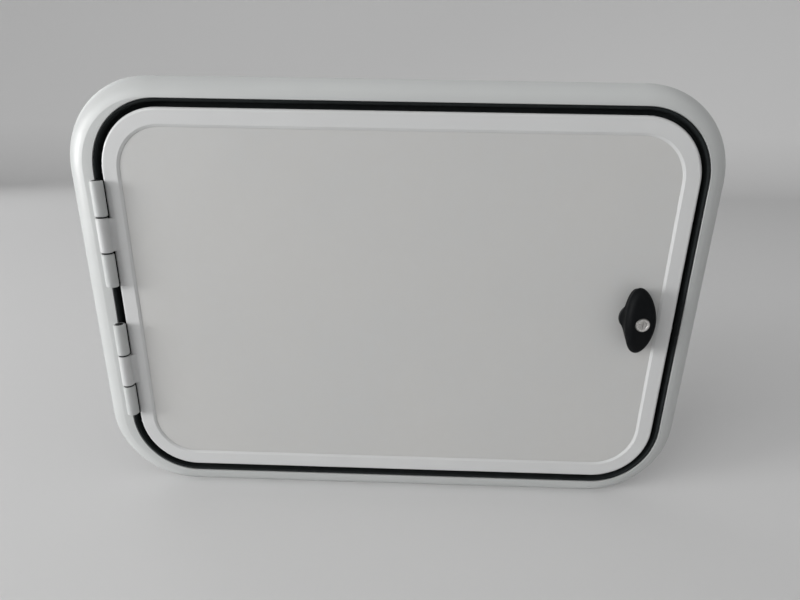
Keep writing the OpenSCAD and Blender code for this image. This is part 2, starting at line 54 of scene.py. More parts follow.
import bmesh
import bpy
from bpy.props import FloatProperty, FloatVectorProperty, PointerProperty
from bpy.types import Operator, Panel, PropertyGroup
from mathutils import Matrix, Vector

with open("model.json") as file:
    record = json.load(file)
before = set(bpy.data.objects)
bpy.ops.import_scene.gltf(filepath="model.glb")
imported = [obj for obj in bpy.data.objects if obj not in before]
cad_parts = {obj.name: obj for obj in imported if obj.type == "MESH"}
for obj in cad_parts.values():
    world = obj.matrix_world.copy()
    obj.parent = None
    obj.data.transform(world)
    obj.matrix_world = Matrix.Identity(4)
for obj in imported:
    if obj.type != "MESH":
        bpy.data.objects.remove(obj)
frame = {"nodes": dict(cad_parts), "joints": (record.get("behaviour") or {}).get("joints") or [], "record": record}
CAD_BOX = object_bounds()
NODES = frame["nodes"]
RECORD = frame["record"]
JOINTS = {joint["name"]: joint for joint in frame["joints"]}
MM = 0.001
KNOB_AXIS = Vector(JOINTS["knob_turn"]["pos_m"])
SHARP_EDGE = math.radians(35)


def colour_prop(name, description, default):
    """A colour that a user may change."""
    return FloatVectorProperty(name=name, description=description, default=default,
                               subtype="COLOR", min=0, max=1)


def place_prop(name, description, default):
    """A place in metres that a user may change."""
    return FloatVectorProperty(name=name, description=description, default=default,
                               subtype="XYZ", unit="LENGTH")


def direction_prop(name, description, default):
    """A direction that a user may change."""
    return FloatVectorProperty(name=name, description=description, default=default,
                               subtype="XYZ")


def length_prop(name, description, default):
    """A length in metres that a user may change."""
    return FloatProperty(name=name, description=description, default=default,
                         unit="LENGTH", precision=5, min=0)


def angle_prop(name, description, degrees):
    """An angle that a user may change."""
    return FloatProperty(name=name, description=description, default=math.radians(degrees),
                         subtype="ANGLE")


def number_prop(name, description, default, unit="NONE"):
    """A plain number, or one with a unit of its own, that a user may change."""
    return FloatProperty(name=name, description=description, default=default, unit=unit)


class DoorFinish(PropertyGroup):
    """Colours and surface grain of the mouldings, skins, rubber and metal."""
    frame_white: colour_prop("Frame white", "Colour of the outer frame", (0.490, 0.502, 0.498))
    rim_white: colour_prop("Rim white", "Colour of the leaf's rim", (0.545, 0.550, 0.550))
    edge_white: colour_prop("Edge white", "Colour of the leaf's edge frame", (0.56, 0.565, 0.56))
    sheet_white: colour_prop("Sheet white", "Colour of the front sheet", (0.485, 0.482, 0.472))
    skin_white: colour_prop("Skin white", "Colour of the inner skin", (0.53, 0.53, 0.52))
    rubber_black: colour_prop("Rubber black", "Colour of the seal", (0.0095, 0.0114, 0.0117))
    knob_black: colour_prop("Knob black", "Colour of the wing knob", (0.0032, 0.0036, 0.0041))
    nylon_black: colour_prop("Nylon black", "Colour of the latch housing", (0.012, 0.013, 0.013))
    nickel: colour_prop("Nickel", "Colour of the lock's plating", (0.66, 0.645, 0.63))
    zinc: colour_prop("Zinc", "Colour of the zinc-plated steel", (0.56, 0.57, 0.60))
    steel: colour_prop("Steel", "Colour of the turned steel spindle", (0.52, 0.52, 0.53))
    # The pins are blackened steel, dark enough to stand in for the shade in the knuckle gaps
    pin_steel: colour_prop("Pin steel", "Colour of the blackened steel pins", (0.11, 0.11, 0.115))
    # Dark colour of the seam beside the seal and of the lock barrel's rim: soiling and painted shade
    grime_and_shade: colour_prop("Grime", "Colour of the dirt in the seams", (0.045, 0.045, 0.043))
    foam_blue: colour_prop("Foam", "Colour of the foam core", (0.45, 0.58, 0.68))
    peel_size: length_prop("Peel size", "Size of the moulded skin's orange peel", 0.0022)
    peel_depth: length_prop("Peel depth", "Depth of the moulded skin's orange peel", 0.00002)
    leaf_corner: length_prop("Leaf corner", "Corner radius of the leaf", 0.063)
    seal_gap: length_prop("Seal gap", "Gap between the leaf and the frame's lip", 0.0082)
    lip_height: length_prop("Lip height", "Height of the frame's lip over the wall", 0.0152)
    # The dirty line and the dusty strip beside the seal are also painted shade, which dims the lip's highlight
    dirt_and_shade_width: length_prop("Dirt width", "Width of the dirty line beside the seal", 0.0007)
    dust_and_shade_width: length_prop("Dust width", "Width of the dusty strip beside the seal", 0.010)
    # The barrel's dark rim between these radii is painted shade at its seat, with some soiling
    barrel_clean_unshaded: length_prop("Barrel clean", "Radius of the barrel's clean middle", 0.0061)
    barrel_dirty_shaded: length_prop("Barrel dirty", "Radius from which the barrel is dirty", 0.0071)


class KnobShape(PropertyGroup):
    """Sizes of the wing knob's skin, which has a softer edge and a fuller lower half than
    the construction's knob."""
    wing_length: length_prop("Wing length", "Length of the wing at its face", 0.073)
    wing_width: length_prop("Wing width", "Width of the wing at its face", 0.031)
    foot_length: length_prop("Foot length", "Length of the wing at its foot", 0.065)
    foot_width: length_prop("Foot width", "Width of the wing at its foot", 0.0215)
    foot_height: length_prop("Foot height", "Height of the foot over the hub's base", 0.0017)
    hub_radius: length_prop("Hub radius", "Radius of the round hub under the wing", 0.0142)
    crown: length_prop("Crown", "How far the face falls towards its two ends", 0.0075)
    face_edge: length_prop("Face edge", "Rounding of the face's edge", 0.0060)
    foot_edge: length_prop("Foot edge", "Rounding of the foot's edge", 0.0015)
    seat_edge: length_prop("Seat edge", "Bevel round the lock barrel's seat", 0.0003)
    seat_radius: length_prop("Seat radius", "Radius of the lock barrel's seat", 0.0075)
    seat_depth: length_prop("Seat depth", "Depth of the lock barrel's seat", 0.020)
    square: length_prop("Square", "Width of the spindle's square", 0.008)
    lean: angle_prop("Lean", "Lean of the wing to the hinge side", 4)
    flare: angle_prop("Flare", "Slant of the flanks where the face's edge starts", 12)
    egg: number_prop("Egg", "Share by which the wing is wider at its upper end", 0.05)
    point: number_prop("Point", "Exponent of the wing's pointed oval", 1.8)
    blend: number_prop("Blend", "Exponent of the blend between wing and hub", 5.0)


class FixingSize(PropertyGroup):
    """Sizes of the screws, the threads, the trim of the hinges and the key slot's shutter."""
    collar_wall: length_prop("Collar wall", "Wall thickness of the collar", 0.0025)
    wall_screw: length_prop("Wall screw", "Diameter of a wall screw's shank", 0.0032)
    wall_screw_length: length_prop("Wall screw length", "Length of a wall screw", 0.025)
    wall_screw_pitch: length_prop("Wall screw pitch", "Pitch of a wall screw", 0.0016)
    keeper_screw: length_prop("Keeper screw", "Diameter of a keeper screw's shank", 0.0026)
    keeper_screw_length: length_prop("Keeper screw length", "Length of a keeper screw", 0.016)
    keeper_screw_inset: length_prop("Keeper screw inset", "From the keeper's end to its screw",
                                    0.009)
    keeper_screw_pitch: length_prop("Keeper screw pitch", "Pitch of a keeper screw", 0.0012)
    keeper_plate: length_prop("Keeper plate", "Thickness of the keeper's plate", 0.0025)
    stud_radius: length_prop("Stud radius", "Radius of the stud behind the tongue", 0.003)
    housing_radius: length_prop("Housing radius", "Radius of the latch housing", 0.011)
    latch_pitch: length_prop("Latch pitch", "Pitch of the threads on stud and housing", 0.001)
    latch_thread: length_prop("Latch thread", "Depth of the threads on stud and housing", 0.00025)
    knuckle_length: length_prop("Knuckle length", "Length of one knuckle of a hinge", 0.036)
    knuckle_gap: length_prop("Knuckle gap", "Gap between two knuckles", 0.0018)
    washer_radius: length_prop("Washer radius", "Radius of the washers in the gaps", 0.0054)
    washer_bore: length_prop("Washer bore", "Radius of a washer's bore", 0.0026)
    washer_play: length_prop("Washer play", "Free height above and below a washer", 0.00015)
    cap_radius: length_prop("Cap radius", "Radius of the caps in the hinges' ends", 0.0042)
    cap_rise: length_prop("Cap rise", "How far a cap's dome stands proud of its knuckle", 0.0009)
    cap_sink: length_prop("Cap sink", "How far a cap's brim lies inside its knuckle", 0.0002)
    pin_play: length_prop("Pin play", "Free length between a pin and its cap", 0.00005)
    key_length: length_prop("Key slot length", "Length of the key slot", 0.0064)
    key_width: length_prop("Key slot width", "Width of the key slot", 0.0013)
    shutter_drop: length_prop("Shutter drop", "From the plug's face down to the shutter", 0.0011)
    shutter_height: length_prop("Shutter height", "Thickness of the shutter", 0.0011)
    shutter_bevel: length_prop("Shutter bevel", "Bevel round the shutter's top", 0.0002)


class StageSize(PropertyGroup):
    """Camera, lamps, floor and backdrop."""
    camera_place: place_prop("Camera place", "Where the camera stands",
                             (0.0113, -0.5303, 0.1886))
    camera_look: direction_prop("Camera direction", "Where the camera looks",
                                (-0.0188, 0.9508, -0.3093))
    camera_up: direction_prop("Camera up", "The picture's upward direction",
                              (-0.0243, 0.3088, 0.9508))
    sensor: number_prop("Sensor", "Width of the camera's sensor", 36.0, unit="CAMERA")
    lens: number_prop("Lens", "Focal length of the camera", 22.742, unit="CAMERA")
    shift_x: number_prop("Shift x", "Sideways shift of the lens", 0.0036)
    shift_y: number_prop("Shift y", "Upward shift of the lens", -0.0092)
    clip_start: length_prop("Clip start", "Nearest distance that the camera sees", 0.01)
    floor_size: length_prop("Floor size", "Half the width of the floor", 30.0)
    cove_depth: length_prop("Cove depth", "Distance from the door to the floor's bend", 3.0)
    cove_radius: length_prop("Cove radius", "Radius of the bend up to the backdrop", 3.0)
    cove_height: length_prop("Cove height", "Height of the backdrop", 12.0)
    side_place: place_prop("Side lamp place", "Place of the low lamp far out on the left",
                           (-5.58, -2.03, 0.84))
    side_width: length_prop("Side lamp width", "Width of the low lamp far out on the left", 2.0)
    side_spread: angle_prop("Side lamp spread", "Beam angle of the low lamp", 58)
    side_power: number_prop("Side lamp power", "Power of the low lamp far out on the left", 33.0,
                            unit="POWER")
    front_place: place_prop("Front lamp place", "Place of the lamp at the front left",
                            (-2.47, -2.65, 1.69))
    front_width: length_prop("Front lamp width", "Width of the lamp at the front left", 1.5)
    front_power: number_prop("Front lamp power", "Power of the lamp at the front left", 42.0,
                             unit="POWER")
    back_place: place_prop("Back lamp place", "Place of the weak lamp behind the door",
                           (-2.60, 2.20, 1.40))
    back_width: length_prop("Back lamp width", "Width of the weak lamp behind the door", 1.5)
    back_power: number_prop("Back lamp power", "Power of the weak lamp behind the door", 12.0,
                            unit="POWER")
    sky: number_prop("Sky", "Strength of the pale surroundings", 0.46)
    floor_colour: colour_prop("Floor colour", "Colour of the floor", (0.68, 0.68, 0.68))
    backdrop_colour: colour_prop("Backdrop colour", "Colour of the backdrop", (0.88, 0.88, 0.88))


class Shade:
    """A small builder for one procedural material."""

    def __init__(self, name, colour, roughness, metallic=0.0, specular=0.5):
        self.material = bpy.data.materials.new(name)
        self.material.use_nodes = True
        self.tree = self.material.node_tree
        self.shader = self.tree.nodes["Principled BSDF"]
        self.shader.inputs["Base Color"].default_value = (*colour, 1)
        self.shader.inputs["Roughness"].default_value = roughness
        self.shader.inputs["Metallic"].default_value = metallic
        self.shader.inputs["Specular IOR Level"].default_value = specular
        self.colour = colour
        self.place = self.add("ShaderNodeTexCoord").outputs["Object"]
        self.normal = None

    def add(self, kind, **inputs):
        """Adds a node and fills its sockets: a value is set, an output is linked."""
        node = self.tree.nodes.new(kind)
        for key, value in inputs.items():
            socket = node.inputs[key.replace("_", " ")]
            if isinstance(value, bpy.types.NodeSocket):
                self.tree.links.new(value, socket)
            else:
                socket.default_value = value
        return node

    def stretched(self, scale):
        """Object coordinates stretched by a scale along each axis."""
        return self.add("ShaderNodeMapping", Vector=self.place, Scale=scale).outputs["Vector"]

    def noise(self, size, detail=3.0, vector=None):
        """Noise with blobs of about one size in metres, from 0 to 1."""
        return self.add("ShaderNodeTexNoise", Vector=vector or self.place, Scale=1 / size,
                        Detail=detail).outputs["Fac"]

    def vector(self, operation, first, second=(0, 0, 0)):
        """One step of vector arithmetic."""
        node = self.add("ShaderNodeVectorMath")
        node.operation = operation
        self.tree.links.new(first, node.inputs[0])
        node.inputs[1].default_value = second
        return node.outputs["Value" if operation == "LENGTH" else "Vector"]

    def off_axis(self, point):
        """Distance in metres from the axis that runs through a point along Y."""
        away = self.vector("SUBTRACT", self.place, point)
        return self.vector("LENGTH", self.vector("MULTIPLY", away, (1, 0, 1)))

    def off_core(self, core, steep=20):
        """Distance in metres from a flat block about the origin, given as half its sides.
        What stands proud of it along Y counts steep times, and so reads as far away."""
        away = self.vector("SUBTRACT", self.vector("ABSOLUTE", self.place), core)
        outer = self.vector("MAXIMUM", away)
        return self.vector("LENGTH", self.vector("MULTIPLY", outer, (1, steep, 1)))

    def behind(self):
        """Distance in metres behind the wall's face, and 0 in front of it."""
        rear = self.vector("MAXIMUM", self.place)
        return self.vector("LENGTH", self.vector("MULTIPLY", rear, (0, 1, 0)))

    def spread(self, value, low, high, start=0.3, end=0.7):
        """Maps a pattern from start..end to low..high, and holds it there beyond."""
        node = self.add("ShaderNodeMapRange", Value=value)
        node.inputs["From Min"].default_value = start
        node.inputs["From Max"].default_value = end
        node.inputs["To Min"].default_value = low
        node.inputs["To Max"].default_value = high
        return node.outputs["Result"]

    def tint(self, pattern, other, low=0.0, high=1.0, start=0.3, end=0.7):
        """Mixes the base colour towards another one by a pattern."""
        current = self.shader.inputs["Base Color"]
        first = current.links[0].from_socket if current.links else (*self.colour, 1)
        mix = self.add("ShaderNodeMix")
        mix.data_type = "RGBA"
        sockets = {s.identifier: s for s in mix.inputs}
        self.tree.links.new(self.spread(pattern, low, high, start, end), sockets["Factor_Float"])
        if isinstance(first, bpy.types.NodeSocket):
            self.tree.links.new(first, sockets["A_Color"])
        else:
            sockets["A_Color"].default_value = first
        sockets["B_Color"].default_value = (*other, 1)
        result = next(s for s in mix.outputs if s.identifier == "Result_Color")
        self.tree.links.new(result, current)

    def gloss(self, pattern, below, above):
        """Varies the roughness by a pattern, from below to above the shader's own value."""
        rough = self.shader.inputs["Roughness"]
        low, high = rough.default_value - below, rough.default_value + above
        self.tree.links.new(self.spread(pattern, low, high), rough)

    def soft_edges(self, radius):
        """Rounds the shading of sharp edges."""
        self.normal = self.add("ShaderNodeBevel", Radius=radius).outputs["Normal"]
        self.tree.links.new(self.normal, self.shader.inputs["Normal"])

    def bump(self, pattern, depth):
        """Raises the surface by a pattern, depth in metres."""
        node = self.add("ShaderNodeBump", Strength=1.0, Distance=depth, Height=pattern)
        if self.normal is not None:
            self.tree.links.new(self.normal, node.inputs["Normal"])
        self.normal = node.outputs["Normal"]
        self.tree.links.new(self.normal, self.shader.inputs["Normal"])


def lighter(colour, share):
    """A colour made lighter, or darker by a negative share."""
    return tuple(min(1, c * (1 + share)) for c in colour)


def moulded_white(name, colour, finish, seal_edge=None):
    """Satin moulded plastic: faint mottling, orange peel and an uneven gloss. With a seal
    edge, a darkening that is part dust and part painted shade fills the seal's channel and
    thins out beyond that distance from the leaf's core, which is the leaf's outline drawn in
    by its corner radius. The painted shade also dims the highlight on the frame's lip."""
    shade = Shade(name, colour, roughness=0.42)
    shade.soft_edges(0.25 * MM)
    shade.tint(shade.noise(90 * MM, detail=2), lighter(colour, -0.035))
    if seal_edge:
        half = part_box("leaf_rim")[1]
        core = (half.x - finish.leaf_corner, finish.lip_height, half.z - finish.leaf_corner)
        off_core = shade.off_core(core)
        # Painted shade and dust beside the seal: a broad darker strip, and a thin line that dims the highlight on
        # the lip
        for dirt_and_shade, share, width in ((lighter(colour, -0.2), 0.5, finish.dust_and_shade_width),
                                   (finish.grime_and_shade, 0.35, finish.dirt_and_shade_width)):
            shade.tint(off_core, dirt_and_shade, low=share, high=0, start=seal_edge, end=seal_edge + width)
    shade.gloss(shade.noise(18 * MM, detail=4), below=0.05, above=0.05)
    shade.bump(shade.noise(finish.peel_size, detail=2), finish.peel_depth)
    return shade.material


def laminate(name, colour, finish):
    """Smooth gel-coated sheet with a slightly wavy face and faint warm and cool patches."""
    shade = Shade(name, colour, roughness=0.38)
    shade.soft_edges(0.3 * MM)
    cooler = (colour[0] * 0.97, colour[1] * 0.985, colour[2])
    shade.tint(shade.noise(160 * MM, detail=2), cooler)
    shade.tint(shade.noise(12 * MM), lighter(colour, -0.02), high=0.7)
    shade.gloss(shade.noise(30 * MM, detail=4), below=0.04, above=0.06)
    shade.bump(shade.noise(50 * MM, detail=1), 0.12 * MM)
    shade.bump(shade.noise(0.7 * finish.peel_size, detail=2), 0.8 * finish.peel_depth)
    return shade.material


def rubber(name, colour):
    """Matt black rubber with a fine grain and a dusty bloom."""
    shade = Shade(name, colour, roughness=0.9, specular=0.12)
    shade.tint(shade.noise(8 * MM, detail=4), lighter(colour, 0.5), high=0.7)
    shade.gloss(shade.noise(3 * MM), below=0.08, above=0.05)
    shade.bump(shade.noise(0.6 * MM), 0.03 * MM)
    return shade.material


def fine_black(name, colour, roughness, grain, specular):
    """Spark-textured black plastic: a fine even grain that breaks up the highlights."""
    shade = Shade(name, colour, roughness, specular=specular)
    shade.soft_edges(0.4 * MM)
    shade.tint(shade.noise(4 * MM, detail=4), lighter(colour, 0.5), high=0.6)
    shade.gloss(shade.noise(2 * MM), below=0.05, above=0.07)
    shade.bump(shade.noise(grain, detail=2), 0.012 * MM)
    return shade.material


def plated(name, colour, roughness, stains=0.25, metallic=1.0, blotch=4 * MM, dirty_shaded_rim=None):
    """Plated metal with cloudy stains, fine scratches and softened edges. A dirty shaded rim is
    the colour of a dark ring, part soiling and part painted shade, and the radii between
    which it comes up round the knob's axis."""
    shade = Shade(name, colour, roughness, metallic)
    shade.soft_edges(0.3 * MM)
    shade.tint(shade.noise(blotch, detail=4), lighter(colour, -stains))
    if dirty_shaded_rim:
        # The dark ring round the barrel's edge is painted shade at its seat, with some soiling, and it hides the
        # edge's highlight
        dirt_and_shade, start, end = dirty_shaded_rim
        shade.tint(shade.off_axis(KNOB_AXIS), dirt_and_shade, high=0.9, start=start, end=end)
    shade.gloss(shade.noise(1.6 * MM, detail=4), below=0.07, above=0.12)
    scratches = shade.noise(0.6 * MM, vector=shade.stretched((1.0, 1.0, 0.12)))
    shade.bump(scratches, 0.006 * MM)
    return shade.material


def foam(name, colour):
    """Closed-cell foam with small cells."""
    cell_size = 0.8 * MM
    shade = Shade(name, colour, roughness=0.85)
    cells = shade.add("ShaderNodeTexVoronoi", Vector=shade.place, Scale=1 / cell_size)
    shade.bump(cells.outputs["Distance"], 0.2 * MM)
    shade.tint(shade.noise(3 * MM), lighter(colour, -0.15))
    return shade.material


def finish_node(name, material):
    """Gives a carried-over part its material."""
    mesh = NODES[name].data
    mesh.materials.clear()
    mesh.materials.append(material)


def finished_by(node):
    """The material that a carried-over part has been given."""
    return NODES[node].data.materials[0]


def add_piece(name, mesh, body, slot, material):
    """Makes a piece of a bmesh: smooth but for its sharp edges, and riding on its body."""
    bmesh.ops.recalc_face_normals(mesh, faces=mesh.faces)
    data = bpy.data.meshes.new(name)
    mesh.to_mesh(data)
    mesh.free()
    data.shade_smooth()
    data.set_sharp_from_angle(angle=SHARP_EDGE)
    data.materials.append(material)
    piece = bpy.data.objects.new(name, data)
    bpy.context.collection.objects.link(piece)
    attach(piece, body)
    return piece


def loft(mesh, rings, closed=False):
    """Joins rings of points by faces. A ring of one point closes its end, and closed
    joins the last ring to the first."""
    rows = [[mesh.verts.new(point) for point in ring] for ring in rings]
    if closed:
        rows.append(rows[0])
    for low, high in zip(rows, rows[1:]):
        count = max(len(low), len(high))
        for i in range(count):
            j = (i + 1) % count
            corners = (low[i % len(low)], low[j % len(low)],
                       high[j % len(high)], high[i % len(high)])
            mesh.faces.new(list(dict.fromkeys(corners)))
    return rows


def on_axis(origin, direction):
    """A function that places radius, angle and height round an axis."""
    along = Vector(direction).normalized()
    across = along.orthogonal().normalized()
    third = along.cross(across)

    def place(radius, angle, height):
        spoke = math.cos(angle) * across + math.sin(angle) * third
        return Vector(origin) + height * along + radius * spoke
    return place


def circle(place, radius, height, count):
    """A ring of points round an axis; radius may be a function of the angle."""
    if radius == 0:
        return [place(0, 0, height)]
    angles = [2 * math.pi * i / count for i in range(count)]
    return [place(radius(a) if callable(radius) else radius, a, height) for a in angles]


def cross_outline(length, width):
    """Outline of a cross-shaped recess as a radius for each angle."""
    def radius(angle):
        turn = abs((angle + math.pi / 4) % (math.pi / 2) - math.pi / 4)
        end = length / 2 / math.cos(turn)
        side = width / 2
        return end if end * math.sin(turn) < side else side / math.sin(turn)
    return radius


def add_thread(mesh, place, radius, depth, pitch, low, high, steps=20):
    """Winds a three-sided ridge round a shank; radius may be a function of the height. The
    ridge rises over a third of a turn at its start, and runs out in the same way."""
    count = round(abs(high - low) / pitch * steps)
    half = 0.3 * pitch
    sink = 0.04 * MM
    rings = []
    for i in range(count + 1):
        height = low + (high - low) * i / count
        angle = 2 * math.pi * i / steps
        runout = min(1.0, 3 * i / steps, 3 * (count - i) / steps)
        shank = radius(height) if callable(radius) else radius
        rings.append([place(shank - sink, angle, height - half),
                      place(shank + depth * runout, angle, height),
                      place(shank - sink, angle, height + half)])
    rows = loft(mesh, rings)
    mesh.faces.new(rows[0])
    mesh.faces.new(rows[-1])


def add_screw(mesh, origin, direction, shank, length, pitch):
    """Pan-head screw with a cross recess, its head's seat at the origin."""
    place = on_axis(origin, direction)
    head, flat = 1.25 * shank, 0.75 * shank
    rise = 0.75 * shank
    rim = 0.25 * rise
    recess = 0.45 * rise
    taper = -length + 2.2 * shank
    tip_radius, tip_length = 0.15 * shank, 0.5 * MM
    wide = cross_outline(1.4 * shank, 0.4 * shank)
    narrow = cross_outline(0.8 * shank, 0.25 * shank)
    rings = [(0, rise - recess), (narrow, rise - recess), (wide, rise), (flat, rise)]
    for turn in (30, 60, 90):
        angle = math.radians(turn)
        rings.append((flat + (head - flat) * math.sin(angle), rim + (rise - rim) * math.cos(angle)))
    rings += [(head, 0), (shank / 2, 0), (shank / 2, taper), (tip_radius, -length + tip_length),
              (0, -length)]
    loft(mesh, [circle(place, radius, height, 32) for radius, height in rings])

    def core(height):
        narrowing = max(0.0, taper - height) / (taper + length)
        return shank / 2 * (1 - 0.75 * narrowing)
    thread_depth = 0.22 * shank
    thread_start, thread_end = -length + 0.8 * MM, -1.6 * shank
    add_thread(mesh, place, core, thread_depth, pitch, thread_start, thread_end)


def outside(u, length, width, shape):
    """Point of the wing's pointed oval at an angle u, wider at its upper end."""
    s = math.sin(u)
    across = math.sqrt(max(0.0, 1 - abs(s) ** shape.point)) * (1 + shape.egg * s)
    return Vector((math.copysign(width, math.cos(u)) * across, length * s))


def wing_outline(shape, length, width, hub, count):
    """Ring of the wing blended with its round hub, both about the knob's axis."""
    points = []
    for i in range(count):
        u = 2 * math.pi * i / count
        oval = outside(u, length, width, shape) if length else Vector((0, 0))
        turn = math.atan2(oval.y, oval.x) if oval.length else u
        skin = (oval.length ** shape.blend + hub ** shape.blend) ** (1 / shape.blend)
        points.append(Vector((skin * math.cos(turn), skin * math.sin(turn))))
    return points


def knob_skin(shape, base, face, count=144):
    """Rings of the knob's skin as (x, y, height), from its base over the face and back
    down through the barrel's seat and the spindle's square."""
    foot = base + shape.foot_height
    brow = face - shape.face_edge
    flank_steps, edge_steps, face_steps = 24, 10, 12

    def crowned(point, height, share=1.0):
        drop = share * shape.crown * (2 * point.y / shape.wing_length) ** 2
        return Vector((point.x, point.y, height - drop))

    def wing(height, inset, on_brow=False):
        rise = (min(height, brow) - foot) / (brow - foot)
        share = 1 if on_brow else rise
        length = (shape.foot_length + (shape.wing_length - shape.foot_length) * share) / 2
        width = (shape.foot_width + (shape.wing_width - shape.foot_width) * share) / 2
        hub = shape.hub_radius * (1 - share)
        flat = wing_outline(shape, length - inset, width - inset, hub, count)
        return [crowned(p, height, rise) for p in flat]

    hub_ring = wing_outline(shape, 0, 0, shape.hub_radius, count)
    rings = [[Vector((*p, height)) for p in hub_ring] for height in (base, foot)]
    for turn in range(90, 0, -15):
        angle = math.radians(turn)
        rings.append(wing(foot + shape.foot_edge * (1 - math.sin(angle)),
                          shape.foot_edge * (1 - math.cos(angle))))
    low = foot + shape.foot_edge
    high = brow - shape.face_edge * math.sin(shape.flare)
    for i in range(flank_steps):
        rings.append(wing(low + (high - low) * i / flank_steps, 0))
    for i in range(edge_steps + 1):
        angle = -shape.flare + (math.pi / 2 + shape.flare) * i / edge_steps
        rings.append(wing(brow + shape.face_edge * math.sin(angle),
                          shape.face_edge * (1 / math.cos(shape.flare) - math.cos(angle)),
                          on_brow=True))

    edge = [p.xy for p in rings[-1]]
    spokes = [p.normalized() for p in edge]
    seat = [spoke * (shape.seat_radius + shape.seat_edge) for spoke in spokes]
    for i in range(1, face_steps + 1):
        rings.append([crowned(p.lerp(q, i / face_steps), face) for p, q in zip(edge, seat)])
    seat_floor = face - shape.seat_depth
    for height in (face - shape.seat_edge, seat_floor):
        rings.append([Vector((*(spoke * shape.seat_radius), height)) for spoke in spokes])
    square = [spoke * (shape.square / 2 / max(abs(spoke.x), abs(spoke.y))) for spoke in spokes]
    for height in (seat_floor, base):
        rings.append([Vector((*p, height)) for p in square])
    return rings


def at_knob(point, lean):
    """Stands a point of the knob up and leans it: x sideways, y up, z out of the wall."""
    turned = Matrix.Rotation(lean, 2) @ Vector((point[0], point[1]))
    return Vector((KNOB_AXIS.x + turned.x, -point[2], KNOB_AXIS.z + turned.y))


class DOOR_OT_mouldings(Operator):
    """Finish the white mouldings: outer frame, leaf rim and edge frame"""
    bl_idname = "door.mouldings"
    bl_label = "Mouldings"

    def execute(self, context):
        finish = context.scene.door_finish
        # The outer frame is darkened beside the seal: painted shade and dust
        seal_edge = finish.leaf_corner + finish.seal_gap
        finish_node("outer_frame", moulded_white("frame_white", finish.frame_white, finish,
                                                 seal_edge))
        finish_node("leaf_rim", moulded_white("rim_white", finish.rim_white, finish))
        finish_node("edge_frame", moulded_white("edge_white", finish.edge_white, finish))
        return {"FINISHED"}


class DOOR_OT_skins(Operator):
    """Finish the leaf's front sheet, inner skin and foam core"""
    bl_idname = "door.skins"
    bl_label = "Skins and core"

    def execute(self, context):
        finish = context.scene.door_finish
        finish_node("front_sheet", laminate("sheet_white", finish.sheet_white, finish))
        finish_node("inner_skin", laminate("skin_white", finish.skin_white, finish))
        finish_node("foam_core", foam("core_foam", finish.foam_blue))
        return {"FINISHED"}


class DOOR_OT_seal(Operator):
    """Finish the rubber seal"""
    bl_idname = "door.seal"
    bl_label = "Rubber seal"

    def execute(self, context):
        finish_node("rubber_seal", rubber("seal_black", context.scene.door_finish.rubber_black))
        return {"FINISHED"}


class DOOR_OT_steelwork(Operator):
    """Finish the pins, the keeper and the steel of the latch"""
    bl_idname = "door.steelwork"
    bl_label = "Steelwork"

    def execute(self, context):
        finish = context.scene.door_finish
        # Dark pins: blackened steel, and also painted shade that keeps the knuckle gaps dark
        pin = plated("pin_steel", finish.pin_steel, roughness=0.55)
        zinc = plated("keeper_steel", finish.zinc, roughness=0.36)
        nut = plated("nut_steel", lighter(finish.zinc, -0.05), roughness=0.30)
        spindle = plated("spindle_steel", finish.steel, roughness=0.34)
        for name, material in (("upper_hinge_pin", pin), ("lower_hinge_pin", pin),
                               ("latch_keeper", zinc), ("cam_tongue", zinc),
                               ("housing_nut", nut), ("cam_washer", nut), ("cam_nut", nut),
                               ("latch_spindle", spindle)):
            finish_node(name, material)
        return {"FINISHED"}


class DOOR_OT_lock(Operator):
    """Finish the latch housing, the lock barrel and the key plug"""
    bl_idname = "door.lock"
    bl_label = "Lock"

    def execute(self, context):
        finish = context.scene.door_finish
        finish_node("latch_housing", fine_black("latch_black", finish.nylon_black, roughness=0.5,
                                                grain=0.8 * MM, specular=0.3))
        # The barrel's edge is darkened: painted shade at its seat, with some soiling
        barrel = plated("barrel_silver", finish.nickel, roughness=0.45, stains=0.45, metallic=0.6,
                        blotch=1.6 * MM,
                        dirty_shaded_rim=(finish.grime_and_shade, finish.barrel_clean_unshaded, finish.barrel_dirty_shaded))
        plug = plated("plug_silver", lighter(finish.nickel, -0.1), roughness=0.34, stains=0.5,
                      metallic=0.7, blotch=1.6 * MM)
        finish_node("lock_barrel", barrel)
        finish_node("key_plug", plug)
        return {"FINISHED"}


class DOOR_OT_knob(Operator):
    """Build the wing knob: a round hub that runs up into the wing's flared flanks"""
    bl_idname = "door.knob"
    bl_label = "Wing knob"

    def execute(self, context):
        shape = context.scene.door_knob
        low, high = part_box("latch_knob")
        rings = knob_skin(shape, -high.y, -low.y)
        mesh = bmesh.new()
        loft(mesh, [[at_knob(p, shape.lean) for p in ring] for ring in rings], closed=True)
        black = fine_black("knob_black", context.scene.door_finish.knob_black, roughness=0.56,
                           grain=0.5 * MM, specular=0.07)
        knob = add_piece("wing_knob", mesh, "knob", "knob_black", black)
        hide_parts("latch_knob")
        return {"FINISHED"}


class DOOR_OT_shutter(Operator):
    """Add the small dust shutter that closes the key slot"""
    bl_idname = "door.shutter"
    bl_label = "Dust shutter"

    def execute(self, context):
        fixing = context.scene.door_fixings
        lean = context.scene.door_knob.lean
        bevel = fixing.shutter_bevel
        top = -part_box("key_plug")[0].y - fixing.shutter_drop
        rings = []
        for height, inset in ((top - fixing.shutter_height, 0), (top - bevel, 0), (top, bevel)):
            w, h = fixing.key_width / 2 - inset, fixing.key_length / 2 - inset
            corners = ((-w, -h), (w, -h), (w, h), (-w, h))
            rings.append([at_knob((x, y, height), lean) for x, y in corners])
        mesh = bmesh.new()
        rows = loft(mesh, rings)
        mesh.faces.new(rows[0])
        mesh.faces.new(rows[-1])
        add_piece("dust_shutter", mesh, "plug", "plug_silver", finished_by("key_plug"))
        return {"FINISHED"}


